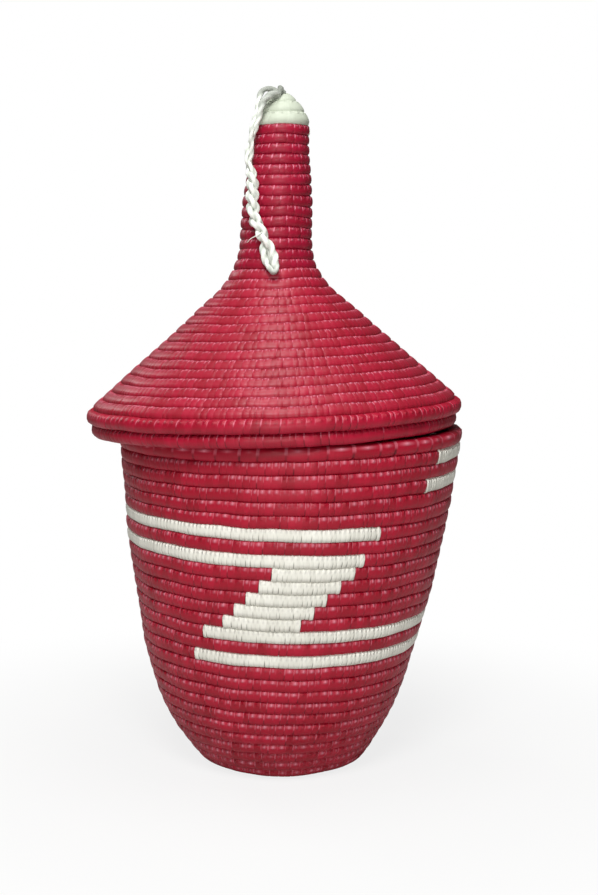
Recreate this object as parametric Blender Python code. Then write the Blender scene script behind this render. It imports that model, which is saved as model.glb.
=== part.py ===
"""Agaseke basket with its peaked lid and hanging loop, in metres, +Z up, standing on Z = 0.

The real basket is coiled: a bundle of grass is wound in a spiral, and strips of sisal wrapped round it are
stitched into the row below. Here every coil is one unbroken tube with its grass inside. In the basket's wall
the tube is divided where the maker changed from a red strip to a white one, so each run of a colour is a piece.

The origin is below the middle of the lid's rim. Azimuth 0 is the front (-Y), and +90 degrees is the right (+X).
A row is counted from where its coil starts, in turns. The zigzag's rows are counted from the basket's rim.
"""

from math import atan2, ceil, cos, floor, pi, radians, sin

import bpy
import numpy as np
from mathutils import Vector

# Coil
COIL_GAP = 0.0005  # between neighbouring rows, which touch on the real basket
END_GAP = 0.0003  # between the ends of two runs
POINTS_A_TURN = 20
NARROW_POINTS_A_TURN = 10
CLIMB_SHARE = 0.5  # share of a turn, at the back, in which the coil climbs to its next row
TAIL_THICKNESS = 0.3  # share of a row at which a tapered end stops
FLAT_HALF = cos(pi / 6.0)  # from a six-sided coil's middle to its flats, as a share of its radius

# Basket
BASE_ROWS = 6
WALL_ROWS = 28
FIRST_TURN_RADIUS = 0.0033
WALL_LINE = (  # the coil's middle, as radius and height over the base coil's middle
    (0.0335, 0.0),
    (0.0388, 0.0020),
    (0.0470, 0.0130),
    (0.0546, 0.0262),
    (0.0600, 0.0408),
    (0.0641, 0.0560),
    (0.0674, 0.0715),
    (0.0718, 0.0930),
    (0.0754, 0.1150),
    (0.0784, 0.1380),
    (0.0806, 0.1588),
)
BASKET_OFFSETS = ((0.0, 0.0041), (0.022, 0.0021), (0.055, 0.0021), (0.08, 0.0041), (0.159, 0.0078))
BASKET_LEANS = ((0.008, 0.0), (0.04, -0.035), (0.09, -0.028), (0.122, -0.024), (0.14, 0.004), (0.159, 0.018))

# Zigzag on the wall, in rows from the rim and in degrees of azimuth
TOP_BARS = ((7, 32.5), (9, 27.5))  # row, right end
TOP_BAR_LENGTH = 156.5
STEP_ROWS = (10, 11, 12, 13, 14)
STEP_LEFT = -4.0
STEP_SHIFT = -4.4
STEP_WIDTH = 28.5
BOTTOM_BARS = ((15, -30.0), (17, -34.5))  # row, left end
BOTTOM_BAR_LENGTH = 126.0
BACK_ZIGZAG_TURN = 180.0
BACK_ZIGZAG_RISE = 5

# Lid
SEAT_GAP = 0.0003
LID_OFFSETS = ((0.176, 0.0), (0.245, 0.0005), (0.262, 0.0014), (0.309, 0.0032), (0.326, 0.0038))
LID_LEANS = ((0.176, 0.032), (0.215, 0.038), (0.238, 0.03), (0.252, 0.012))
TIP_ROWS = 3
NECK_ROWS = 14
CONE_ROWS = 16
ROW_PITCHES = ((2.6, 0.0059), (3.6, 0.0044), (9.0, 0.0051))  # thick rows on the tip, and thin ones below it
TIP_TURN_RADIUS = 0.0042
TIP_HEIGHT = 0.0156
TIP_SHARPNESS = 1.4  # 1 is a round dome, and more is more pointed
NECK_TOP_RADIUS = 0.0120
NECK_FOOT_RADIUS = 0.0163
NECK_HEIGHT = 0.0706
NECK_FILLET = 0.038
CONE_HEIGHT = 0.0594
CONE_FOOT_ANGLE = 51.0  # of the line from the rim coil's middle up to the middle of the cone's last row
LID_RIM_RADIUS = 0.0881
LID_RIM_THICKNESS = 0.0066
FLANGE_INSET = 0.0024  # of the flange's outer row, from the rim coil above it
FLANGE_PITCH = 0.0065
LIP_CLEARANCE = 0.0013  # between the lip and the basket's rim, where the two come nearest
LIP_ROWS = 2
LIP_PITCH = 0.0058

# Knot and hanging loop
KNOT_RADIUS = 0.0028
KNOT_STEM_RADIUS = 0.0008
KNOT_STEM_LENGTH = 0.0024
KNOT_STOP_RADIUS = 0.0018
KNOT_SIDES_RESOLUTION = 3
CORD_DIAMETER = 0.0055
CORD_SIDES_RESOLUTION = 2
CORD_POINT_SPACING = 0.0125
CORD_ROUTE = (
    (0.0010, -0.0057, 0.3279),
    (-0.0025, -0.0094, 0.3247),
    (-0.0070, -0.0131, 0.3165),
    (-0.0088, -0.0144, 0.3095),
    (-0.0106, -0.0127, 0.3015),
    (-0.0118, -0.0124, 0.2925),
    (-0.0101, -0.0146, 0.2850),
    (-0.0099, -0.0162, 0.2739),
    (-0.0090, -0.0177, 0.2660),
    (-0.0056, -0.0202, 0.2590),
    (-0.0035, -0.0214, 0.2533),
    (-0.0016, -0.0228, 0.2467),
    (0.0006, -0.0264, 0.2406),
)

# Colours, as linear red, green and blue
RED_SISAL = (0.38, 0.022, 0.045, 1.0)
WHITE_SISAL = (0.74, 0.74, 0.66, 1.0)
CORD_SISAL = (0.66, 0.70, 0.64, 1.0)


def clear_scene():
    for thing in list(bpy.data.objects):
        bpy.data.objects.remove(thing, do_unlink=True)


def new_collection(name):
    made = bpy.data.collections.new(name)
    bpy.context.scene.collection.children.link(made)
    return made


def fibre(name, colour, roughness):
    material = bpy.data.materials.new(name)
    material.use_nodes = True
    shader = material.node_tree.nodes["Principled BSDF"]
    shader.inputs["Base Color"].default_value = colour
    shader.inputs["Roughness"].default_value = roughness
    return material


def read_table(table, at):
    """The value at a place in a table of (place, value), on straight lines between its entries."""
    return float(np.interp(at, [entry[0] for entry in table], [entry[1] for entry in table]))


def smooth_route(route, spacing):
    """Evenly spaced points on one smooth curve through the points of a route."""
    spots = [Vector(point) for point in route]
    spots = [spots[0] * 2.0 - spots[1], *spots, spots[-1] * 2.0 - spots[-2]]
    fine = []
    for before, start, end, after in zip(spots, spots[1:], spots[2:], spots[3:]):
        for step in range(20):
            share = step / 20.0
            turn = (before * 2.0 - start * 5.0 + end * 4.0 - after) * share**2
            twist = (start * 3.0 - before - end * 3.0 + after) * share**3
            fine.append(start + ((end - before) * share + turn + twist) * 0.5)
    fine.append(spots[-2])
    lengths = np.concatenate([[0.0], np.cumsum([(b - a).length for a, b in zip(fine, fine[1:])])])
    wanted = np.linspace(0.0, lengths[-1], round(lengths[-1] / spacing) + 1)
    columns = [np.interp(wanted, lengths, [point[axis] for point in fine]) for axis in range(3)]
    return [Vector(point) for point in zip(*columns)]


class Meridian:
    """A line in the (radius, height) plane, read by its length from its start."""

    def __init__(self, points):
        self.points = np.array(points)
        steps = np.hypot(*np.diff(self.points, axis=0).T)
        self.at = np.concatenate([[0.0], np.cumsum(steps)])
        self.length = float(self.at[-1])

    def point(self, length):
        """Beyond either end the line goes straight on."""
        inside = min(self.length, max(0.0, length))
        radius = np.interp(inside, self.at, self.points[:, 0])
        height = np.interp(inside, self.at, self.points[:, 1])
        end = self.points[-1] - self.points[-2] if length > inside else self.points[1] - self.points[0]
        beyond = end / np.hypot(*end) * (length - inside)
        return float(radius + beyond[0]), float(height + beyond[1])


def row_position(turns):
    """Rows wound after this many turns: level round the front, and climbing at the back."""
    whole = floor(turns)
    share = turns - whole
    half = CLIMB_SHARE / 2.0
    if share < half:
        return whole + 0.5 * sin(pi * share / CLIMB_SHARE)
    if share > 1.0 - half:
        return whole + 1.0 - 0.5 * sin(pi * (1.0 - share) / CLIMB_SHARE)
    return whole + 0.5


def turns_at(row, azimuth):
    """The turns at which a row passes an azimuth in degrees. A turn starts at the back, at 180 degrees."""
    return row + (180.0 - azimuth) / 360.0


class Coil:
    """The rounds of one coil. Its place function turns rows and an azimuth in radians into a point."""

    def __init__(self, place, rows, tapered_start=False):
        self.place = place
        self.rows = rows
        self.tapered_start = tapered_start
        self.first = CLIMB_SHARE / 2.0
        self.last = rows - CLIMB_SHARE / 2.0
        step = 0.002
        while tapered_start and self.middle_and_share(self.first - step)[1] > TAIL_THICKNESS:
            self.first -= step
        while self.middle_and_share(self.last + step)[1] > TAIL_THICKNESS:
            self.last += step

    def middle_and_share(self, turns):
        """The row position, and the share of a row that the coil fills: less than 1 where an end tapers."""
        half = CLIMB_SHARE / 2.0
        if turns > self.rows - half:
            below = row_position(turns - 1.0) + 0.5
            return (self.rows + below) / 2.0, self.rows - below
        if self.tapered_start and turns < half:
            above = row_position(turns + 1.0) - 0.5
            return above / 2.0, above
        return row_position(turns), 1.0

    def middle(self, turns):
        return self.place(self.middle_and_share(turns)[0], pi - 2.0 * pi * turns)

    def radius(self, turns):
        """Half of what lies between this round and the nearer of its neighbours, less half a gap."""
        row, share = self.middle_and_share(turns)
        azimuth = pi - 2.0 * pi * turns
        here = self.place(row, azimuth)
        pitch = min((self.place(row + side, azimuth) - here).length for side in (-1.0, 1.0))
        return (pitch * share - COIL_GAP) / 2.0

    def tilt(self, turns):
        """Turns the coil's six sides so that one corner faces the round before, and one the round after."""
        row, _ = self.middle_and_share(turns)
        azimuth = pi - 2.0 * pi * turns
        along = self.place(row, azimuth) - self.place(row - 1.0, azimuth)
        outward = Vector((sin(azimuth), -cos(azimuth), 0.0))
        return atan2(along.z, along.dot(outward))

    def gap(self, turns):
        """The clear distance from here to the next round."""
        between = (self.middle(turns + 1.0) - self.middle(turns)).length
        return between - self.radius(turns) - self.radius(turns + 1.0)

    def least_gap(self):
        corners = range(ceil(self.first * POINTS_A_TURN), floor((self.last - 1.0) * POINTS_A_TURN) + 1)
        return min(self.gap(corner / POINTS_A_TURN) for corner in corners)

    def turns_for(self, turns, length):
        """The turns that a length takes up along the coil here."""
        return 0.01 * length / (self.middle(turns + 0.01) - self.middle(turns)).length

    def on_chord(self, turns, points_a_turn):
        """The middle, radius and tilt on the straight line between the two corners beside this spot."""
        before = floor(turns * points_a_turn + 1e-6) / points_a_turn
        after = before + 1.0 / points_a_turn
        share = (turns - before) * points_a_turn
        middle = self.middle(before).lerp(self.middle(after), share)
        radius = self.radius(before) * (1.0 - share) + self.radius(after) * share
        return middle, radius, self.tilt(turns)

    def clear_of_corner(self, turns, points_a_turn):
        """Moves the spot where two runs meet off a corner of the coil, so that their ends are parallel."""
        share = (turns * points_a_turn) % 1.0
        away = min(1.0 - 0.05, max(0.05, share))
        return turns + (away - share) / points_a_turn

    def make_run(self, name, collection, material, first, last, points_a_turn=POINTS_A_TURN):
        """The stretch of the coil between two counts of turns, as one tube of six sides."""
        if first > self.first:
            first = self.clear_of_corner(first, points_a_turn)
            first += self.turns_for(first, END_GAP / 2.0)
        if last < self.last:
            last = self.clear_of_corner(last, points_a_turn)
            last -= self.turns_for(last, END_GAP / 2.0)
        spots = [first]
        for corner in range(floor(first * points_a_turn) + 1, ceil(last * points_a_turn)):
            spots.append(corner / points_a_turn)
        spots.append(last)
        tube(name, collection, material, [self.on_chord(spot, points_a_turn) for spot in spots], 1)


def tube(name, collection, material, route, sides_resolution):
    """A closed tube through a route of (middle, radius, tilt)."""
    curve = bpy.data.curves.new(name, "CURVE")
    curve.dimensions = "3D"
    curve.twist_mode = "Z_UP"
    curve.bevel_depth = 1.0
    curve.bevel_resolution = sides_resolution
    curve.use_fill_caps = True
    spline = curve.splines.new("POLY")
    spline.points.add(len(route) - 1)
    for spot, (middle, radius, tilt) in zip(spline.points, route):
        spot.co = (*middle, 1.0)
        spot.radius = radius
        spot.tilt = tilt
    curve.materials.append(material)
    collection.objects.link(bpy.data.objects.new(name, curve))


def say_gap(name, coil):
    print(f"{name}: least gap to itself {coil.least_gap() * 1000.0:.2f} mm")


# Basket


def basket_coil():
    """Flat from the middle to the edge of the base, then up the rounded wall to the rim."""
    wall = smooth_route([(radius, 0.0, height) for radius, height in WALL_LINE], 0.001)
    meridian = Meridian([(0.0, 0.0)] + [(point.x, point.z) for point in wall])
    rows = BASE_ROWS + WALL_ROWS
    pitch = (meridian.length - FIRST_TURN_RADIUS) / (rows - 1)
    base_middle = (pitch - COIL_GAP) / 2.0 * FLAT_HALF

    def place(row, azimuth):
        radius, height = meridian.point(FIRST_TURN_RADIUS + (row - 0.5) * pitch)
        across = radius * sin(azimuth)
        along_x = read_table(BASKET_OFFSETS, height) + across
        rise = height + read_table(BASKET_LEANS, height) * across
        return Vector((along_x, -radius * cos(azimuth), base_middle + rise))

    return Coil(place, rows)


def zigzag(side, turn, rise):
    """The white runs of one zigzag, as (name, row from the rim, left end, right end)."""
    for row, right in TOP_BARS:
        yield f"{side}_white_top_bar", row - rise, right - TOP_BAR_LENGTH + turn, right + turn
    for number, row in enumerate(STEP_ROWS):
        left = STEP_LEFT + STEP_SHIFT * number + turn
        yield f"{side}_white_step", row - rise, left, left + STEP_WIDTH
    for row, left in BOTTOM_BARS:
        yield f"{side}_white_bottom_bar", row - rise, left + turn, left + BOTTOM_BAR_LENGTH + turn


def make_basket(collection, red, white):
    coil = basket_coil()
    say_gap("basket coil", coil)
    white_runs = []
    for side, turn, rise in (("front", 0.0, 0), ("back", BACK_ZIGZAG_TURN, BACK_ZIGZAG_RISE)):
        for kind, row, left, right in zigzag(side, turn, rise):
            from_start = coil.rows - row
            name = f"{kind}_row_{row:02d}"
            white_runs.append((turns_at(from_start, right), turns_at(from_start, left), name))
    narrow_end = turns_at(BASE_ROWS // 2, 90.0)
    base_end = turns_at(BASE_ROWS, -90.0)
    rim_start = turns_at(coil.rows - 2, -90.0)
    coil.make_run("base_start_coil", collection, red, coil.first, narrow_end, NARROW_POINTS_A_TURN)
    coil.make_run("base_coil", collection, red, narrow_end, base_end)
    here = base_end
    for number, (start, end, name) in enumerate(sorted(white_runs), 1):
        coil.make_run(f"red_wall_run_{number:02d}", collection, red, here, start)
        coil.make_run(name, collection, white, start, end)
        here = end
    coil.make_run(f"red_wall_run_{len(white_runs) + 1:02d}", collection, red, here, rim_start)
    coil.make_run("basket_rim_coil", collection, red, rim_start, coil.last)
    return coil


# Lid


def seat_height(basket):
    """How high the lid's underside lies over its middle, so that it just clears the highest part of the rim."""
    highest = 0.0
    for corner in range(POINTS_A_TURN):
        top = basket.place(basket.rows, 2.0 * pi * corner / POINTS_A_TURN)
        highest = max(highest, top.z - read_table(LID_LEANS, 0.0) * top.x)
    return highest + SEAT_GAP


def lip_radius(basket):
    """The radius of the lip's middle, which fits inside the basket's mouth."""
    sides = [basket.place(basket.rows - 0.5, side) for side in (-pi / 2.0, pi / 2.0)]
    mouth = min(abs(side.x) for side in sides) - basket.radius(turns_at(basket.rows - 1, 0.0))
    return mouth - LIP_CLEARANCE - (LIP_PITCH - COIL_GAP) / 2.0


def leaning(radius_at, height_at):
    """The place function of a lid coil from its radius and height by row."""

    def place(row, azimuth):
        height = height_at(row)
        across = radius_at(row) * sin(azimuth)
        lean = read_table(LID_LEANS, height) * across
        return Vector((read_table(LID_OFFSETS, height) + across, -radius_at(row) * cos(azimuth), height + lean))

    return place


def fillet(before, corner, after, radius):
    """Points on the arc that rounds the corner between two straight lines in the (radius, height) plane."""
    arriving = (corner - before).normalized()
    leaving = (after - corner).normalized()
    turning = arriving.angle(leaving)
    inward = (leaving - arriving).normalized()
    onward = (leaving + arriving).normalized()
    centre = corner + inward * (radius / cos(turning / 2.0))
    for step in range(21):
        angle = turning * (step / 20.0 - 0.5)
        yield centre - inward * (radius * cos(angle)) + onward * (radius * sin(angle))


def lid_meridian(rim_height):
    """From the tip's middle over its dome, down the neck and the cone to the cone's last row."""
    cone_pitch = Vector((LID_RIM_RADIUS - NECK_FOOT_RADIUS, CONE_HEIGHT)).length / CONE_ROWS
    reach = LID_RIM_THICKNESS / 2.0 * FLAT_HALF + SEAT_GAP + (cone_pitch - COIL_GAP) / 2.0
    reach = Vector((cos(radians(CONE_FOOT_ANGLE)), sin(radians(CONE_FOOT_ANGLE)))) * reach
    cone_foot = Vector((LID_RIM_RADIUS - reach.x, rim_height + reach.y))
    knee = Vector((NECK_FOOT_RADIUS, cone_foot.y + CONE_HEIGHT))
    neck_top = Vector((NECK_TOP_RADIUS, knee.y + NECK_HEIGHT))
    points = []
    for step in range(41):
        angle = pi / 2.0 * step / 40.0
        radius = NECK_TOP_RADIUS * sin(angle) ** TIP_SHARPNESS
        points.append((radius, neck_top.y + TIP_HEIGHT * abs(cos(angle)) ** TIP_SHARPNESS))
    points.extend(tuple(point) for point in fillet(neck_top, knee, cone_foot, NECK_FILLET))
    points.append(tuple(cone_foot))
    return Meridian(points)


def tip_reach(row):
    """How far down the meridian a row of the tip or the neck lies, which is the pitches above it added up."""
    rows = [0.5, *(at for at, _ in ROW_PITCHES if at < row), row]
    reach = TIP_TURN_RADIUS
    for start, end in zip(rows, rows[1:]):
        reach += (end - start) * (read_table(ROW_PITCHES, start) + read_table(ROW_PITCHES, end)) / 2.0
    return reach


def lid_coil(rim_height):
    meridian = lid_meridian(rim_height)
    neck_end_row = TIP_ROWS + NECK_ROWS
    neck_end = tip_reach(neck_end_row)
    cone_pitch = (meridian.length - neck_end) / (CONE_ROWS - 0.5)

    def point_at(row):
        if row < neck_end_row:
            return meridian.point(tip_reach(row))
        return meridian.point(neck_end + (row - neck_end_row) * cone_pitch)

    place = leaning(lambda row: point_at(row)[0], lambda row: point_at(row)[1])
    return Coil(place, neck_end_row + CONE_ROWS)


def make_lid_rim(collection, red, height):
    """One turn of a thicker bundle, whose ends meet at the back."""
    place = leaning(lambda row: LID_RIM_RADIUS, lambda row: height)
    half_gap = END_GAP / 2.0 / (2.0 * pi * LID_RIM_RADIUS)
    route = []
    for corner in range(POINTS_A_TURN + 1):
        turns = min(1.0 - half_gap, max(half_gap, corner / POINTS_A_TURN))
        route.append((place(0.0, pi - 2.0 * pi * turns), LID_RIM_THICKNESS / 2.0, pi / 2.0))
    tube("lid_rim_coil", collection, red, route, 1)


def make_lid(collection, red, white, basket):
    """The lid's coils, from the flange that sits on the rim up to the tip. Returns a point of its first turn."""
    flange_radius = (FLANGE_PITCH - COIL_GAP) / 2.0
    flange_height = seat_height(basket) + flange_radius * FLAT_HALF
    lip_height = flange_height - flange_radius * FLAT_HALF - SEAT_GAP - (LIP_PITCH - COIL_GAP) / 2.0
    rim_height = flange_height + flange_radius * FLAT_HALF + SEAT_GAP + LID_RIM_THICKNESS / 2.0

    upper = lid_coil(rim_height)
    tip_end = turns_at(TIP_ROWS, 90.0)
    neck_end = turns_at(TIP_ROWS + NECK_ROWS, 90.0)
    upper.make_run("lid_tip_coil", collection, white, upper.first, tip_end, NARROW_POINTS_A_TURN)
    upper.make_run("lid_neck_coil", collection, red, tip_end, neck_end, NARROW_POINTS_A_TURN)
    upper.make_run("lid_cone_coil", collection, red, neck_end, upper.last)
    say_gap("tip, neck and cone coil", upper)
    make_lid_rim(collection, red, rim_height)

    outer = LID_RIM_RADIUS - FLANGE_INSET
    inner = lip_radius(basket)
    flange_place = leaning(lambda row: outer - (row - 0.5) * FLANGE_PITCH, lambda row: flange_height)
    flange = Coil(flange_place, 1 + round((outer - inner) / FLANGE_PITCH), tapered_start=True)
    flange.make_run("lid_flange_coil", collection, red, flange.first, flange.last)
    say_gap("lid flange coil", flange)

    lip_place = leaning(lambda row: inner, lambda row: lip_height - (row - 0.5) * LIP_PITCH)
    lip = Coil(lip_place, LIP_ROWS, tapered_start=True)
    lip.make_run("lid_lip_coil", collection, red, lip.first, lip.last)
    say_gap("lid lip coil", lip)
    return upper.place(0.5, 0.0)


# Knot and hanging loop


def beside_first_turn(radius, first_turn):
    """How far a ball on the tip's axis lies over or below the first turn when it rests against it."""
    turn_radius = (read_table(ROW_PITCHES, 0.5) - COIL_GAP) / 2.0
    return ((turn_radius + radius + END_GAP) ** 2 - first_turn.y**2) ** 0.5


def make_knot(collection, cord, first_turn):
    """A knot over the hole in the tip's first turn, a stem through the hole and a stop knot below it."""
    axis = Vector((read_table(LID_OFFSETS, first_turn.z), 0.0, first_turn.z))
    over = beside_first_turn(KNOT_RADIUS, first_turn)
    below = beside_first_turn(KNOT_STOP_RADIUS, first_turn)
    rises_and_radii = []
    for angle in (80.0, 50.0, 20.0, -10.0, -40.0):
        rise = over + KNOT_RADIUS * sin(radians(angle))
        rises_and_radii.append((rise, KNOT_RADIUS * cos(radians(angle))))
    rises_and_radii.append((KNOT_STEM_LENGTH / 2.0, KNOT_STEM_RADIUS))
    rises_and_radii.append((-KNOT_STEM_LENGTH / 2.0, KNOT_STEM_RADIUS))
    for angle in (40.0, 0.0, -40.0, -75.0):
        rise = KNOT_STOP_RADIUS * sin(radians(angle)) - below
        rises_and_radii.append((rise, KNOT_STOP_RADIUS * cos(radians(angle))))
    route = [(axis + Vector((0.0, 0.0, rise)), radius, 0.0) for rise, radius in rises_and_radii]
    tube("cord_knot", collection, cord, route, KNOT_SIDES_RESOLUTION)


def make_hanging_loop(collection, cord):
    """The limp cord that hangs from the tip down the neck's left side, as it lies in the photograph."""
    points = smooth_route(CORD_ROUTE, CORD_POINT_SPACING)
    length = sum((end - start).length for start, end in zip(points, points[1:]))
    route = [(point, CORD_DIAMETER / 2.0, 0.0) for point in points]
    tube("hanging_loop", collection, cord, route, CORD_SIDES_RESOLUTION)
    print(f"hanging loop: {length * 1000.0:.0f} mm long")


def main():
    clear_scene()
    collection = new_collection("agaseke_basket")
    red = fibre("red_sisal", RED_SISAL, 0.5)
    white = fibre("white_sisal", WHITE_SISAL, 0.6)
    cord = fibre("cord_sisal", CORD_SISAL, 0.8)
    basket = make_basket(collection, red, white)
    first_turn = make_lid(collection, red, white, basket)
    make_knot(collection, cord, first_turn)
    make_hanging_loop(collection, cord)


main()
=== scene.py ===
# %% [markdown]
# # A coiled basket with a peaked lid
#
# The real basket is one long bundle of grass, wound in a spiral and wrapped with flat strips of sisal, each of
# them stitched into the row below. So nearly everything here is one idea, used many times: a line that climbs in
# a spiral, and a tree of Geometry Nodes that wraps it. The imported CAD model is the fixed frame, and each wrapped
# piece lies where its CAD node lies.

# %% The frame
from functools import partial
from math import atan2, cos, floor, pi, radians, sin

import bpy
import numpy as np
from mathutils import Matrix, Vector


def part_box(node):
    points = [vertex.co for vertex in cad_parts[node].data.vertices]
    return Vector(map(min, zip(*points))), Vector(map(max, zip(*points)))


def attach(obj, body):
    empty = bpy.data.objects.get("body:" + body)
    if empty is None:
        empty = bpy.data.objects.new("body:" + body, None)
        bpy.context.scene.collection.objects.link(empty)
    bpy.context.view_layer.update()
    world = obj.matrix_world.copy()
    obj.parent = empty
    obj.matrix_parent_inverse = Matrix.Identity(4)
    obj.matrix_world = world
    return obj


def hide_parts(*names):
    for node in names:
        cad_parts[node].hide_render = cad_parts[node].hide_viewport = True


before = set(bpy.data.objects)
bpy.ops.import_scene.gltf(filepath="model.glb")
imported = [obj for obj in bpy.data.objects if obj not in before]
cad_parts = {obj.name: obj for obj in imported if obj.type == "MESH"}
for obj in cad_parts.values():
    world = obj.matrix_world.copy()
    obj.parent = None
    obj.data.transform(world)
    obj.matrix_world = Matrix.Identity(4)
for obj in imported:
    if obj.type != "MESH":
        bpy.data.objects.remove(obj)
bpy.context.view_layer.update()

MM = 0.001

# %% [markdown]
# ## Small helpers
#
# Colours are hex values, as on a screen, and one function makes them linear for Blender. Another one adds a node
# with its settings, inputs and links. The functions that build a tree take it with the tree filled in, as add.

# %% Colours, nodes and objects
NODE_FAMILIES = ("ShaderNode", "GeometryNode", "FunctionNode", "Node")
SMOOTH = {"interpolation_type": "SMOOTHSTEP"}


def linear(hex_colour):
    """A colour like #a31f34, as linear red, green, blue and alpha."""
    shares = [int(hex_colour[at:at + 2], 16) / 255.0 for at in (1, 3, 5)]
    turned = [share / 12.92 if share <= 0.04045 else ((share + 0.055) / 1.055) ** 2.4 for share in shares]
    return (*turned, 1.0)


def add_node(tree, kind, *inputs, **settings):
    """A new node. Capitals alone, such as ADD, are an operation of Math. Its inputs come in order, or in one dict."""
    kind, _, operation = ("Math:" + kind if kind.isupper() else kind).partition(":")
    family = next(family for family in NODE_FAMILIES if hasattr(bpy.types, family + kind))
    node = tree.nodes.new(family + kind)
    if operation:
        node.operation = operation
    for name, value in settings.items():
        setattr(node, name, value)
    named = inputs[0] if inputs and isinstance(inputs[0], dict) else dict(enumerate(inputs))
    for name, value in named.items():
        if isinstance(value, bpy.types.Node):
            value = value.outputs[0]
        if isinstance(value, bpy.types.NodeSocket):
            tree.links.new(value, node.inputs[name])
        else:
            node.inputs[name].default_value = value
    return node


def new_object(name, data):
    """An object in the scene, at the origin."""
    thing = bpy.data.objects.new(name, data)
    bpy.context.scene.collection.objects.link(thing)
    return thing


print("helpers: linear, add_node, new_object")

# %% [markdown]
# ## Camera
#
# The camera stands in front, a little above the middle, and looks slightly down. Its place was found by fitting
# the outline of the CAD model to the basket's outline in the photograph.

# %% Camera
CAMERA_PLACE = (0.0121, -0.683, 0.2339)
CAMERA_DIP = 6.6  # degrees
FOCAL_LENGTH, IMAGE_HEIGHT = 1393.0, 895.0  # both in the photograph's pixels
SENSOR_HEIGHT = 36.0

camera = bpy.context.scene.camera = new_object("camera", bpy.data.cameras.new("camera"))
camera.location = CAMERA_PLACE
camera.rotation_euler = (radians(90.0 - CAMERA_DIP), 0.0, 0.0)
camera.data.sensor_fit = "VERTICAL"
camera.data.sensor_height = SENSOR_HEIGHT
camera.data.lens = FOCAL_LENGTH / IMAGE_HEIGHT * SENSOR_HEIGHT
print(f"camera: {camera.data.lens:.1f} mm lens at {CAMERA_PLACE}")

# %% [markdown]
# ## The rule of the coil
#
# The row climbs by one row's height in each turn, and the maker hides the climb at the back, so that the rows
# look level from the front. The numbers are the CAD model's, so the wraps land on its solids.

# %% Rows and turns
CLIMB_SHARE = 0.5  # share of a turn, at the back, in which the coil climbs


def read_table(table, at):
    return float(np.interp(at, [entry[0] for entry in table], [entry[1] for entry in table]))


def row_position(turns):
    """Rows wound after this many turns."""
    whole = floor(turns)
    share = turns - whole
    half = CLIMB_SHARE / 2.0
    if share < half:
        return whole + 0.5 * sin(pi * share / CLIMB_SHARE)
    if share > 1.0 - half:
        return whole + 1.0 - 0.5 * sin(pi * (1.0 - share) / CLIMB_SHARE)
    return whole + 0.5


def turns_at(row, azimuth):
    """The turns at which a row passes an azimuth in degrees. A turn starts at the back."""
    return row + (180.0 - azimuth) / 360.0


print("rule: level round the front, climbing over", CLIMB_SHARE, "of a turn at the back")

# %% [markdown]
# A meridian is a line in the (radius, height) plane that says where a coil's rows lie. A route is a few points
# that one smooth curve passes through. A spline of Blender's could do that, but this is the CAD model's own curve.

# %% Routes and meridians
FINE_STEPS = 20


def smooth_route(route, spacing):
    """Evenly spaced points on one smooth curve through the points of a route."""
    spots = [Vector(point) for point in route]
    spots = [spots[0] * 2.0 - spots[1], *spots, spots[-1] * 2.0 - spots[-2]]
    fine = []
    for before, start, end, after in zip(spots, spots[1:], spots[2:], spots[3:]):
        for step in range(FINE_STEPS):
            share = step / FINE_STEPS
            turn = (before * 2.0 - start * 5.0 + end * 4.0 - after) * share**2
            twist = (start * 3.0 - before - end * 3.0 + after) * share**3
            fine.append(start + ((end - before) * share + turn + twist) * 0.5)
    fine.append(spots[-2])
    lengths = np.concatenate([[0.0], np.cumsum([(b - a).length for a, b in zip(fine, fine[1:])])])
    wanted = np.linspace(0.0, lengths[-1], round(lengths[-1] / spacing) + 1)
    columns = [np.interp(wanted, lengths, [point[axis] for point in fine]) for axis in range(3)]
    return [Vector(point) for point in zip(*columns)]


class Meridian:
    """A line in the (radius, height) plane, read by its length from its start."""

    def __init__(self, points):
        self.points = np.array(points)
        steps = np.hypot(*np.diff(self.points, axis=0).T)
        self.at = np.concatenate([[0.0], np.cumsum(steps)])
        self.length = float(self.at[-1])

    def point(self, length):
        inside = min(self.length, max(0.0, length))
        radius = np.interp(inside, self.at, self.points[:, 0])
        height = np.interp(inside, self.at, self.points[:, 1])
        end = self.points[-1] - self.points[-2] if length > inside else self.points[1] - self.points[0]
        beyond = end / np.hypot(*end) * (length - inside)
        return float(radius + beyond[0]), float(height + beyond[1])


print("lines: smooth_route, Meridian")

# %% [markdown]
# A coil is a meridian wound by the rule. Its bundle is thinned out at its ends, to lie flat against the next row.
# Each spot on it has a thickness and a tilt, which turns a section's top to the next row, where the stitches go.

# %% The coil
TAIL_THICKNESS = 0.3  # share of a row at which a tapered end stops
TAPER_STEP = 0.002  # turns
SAMPLES_A_TURN, LEAST_SAMPLES = 60, 8


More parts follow.
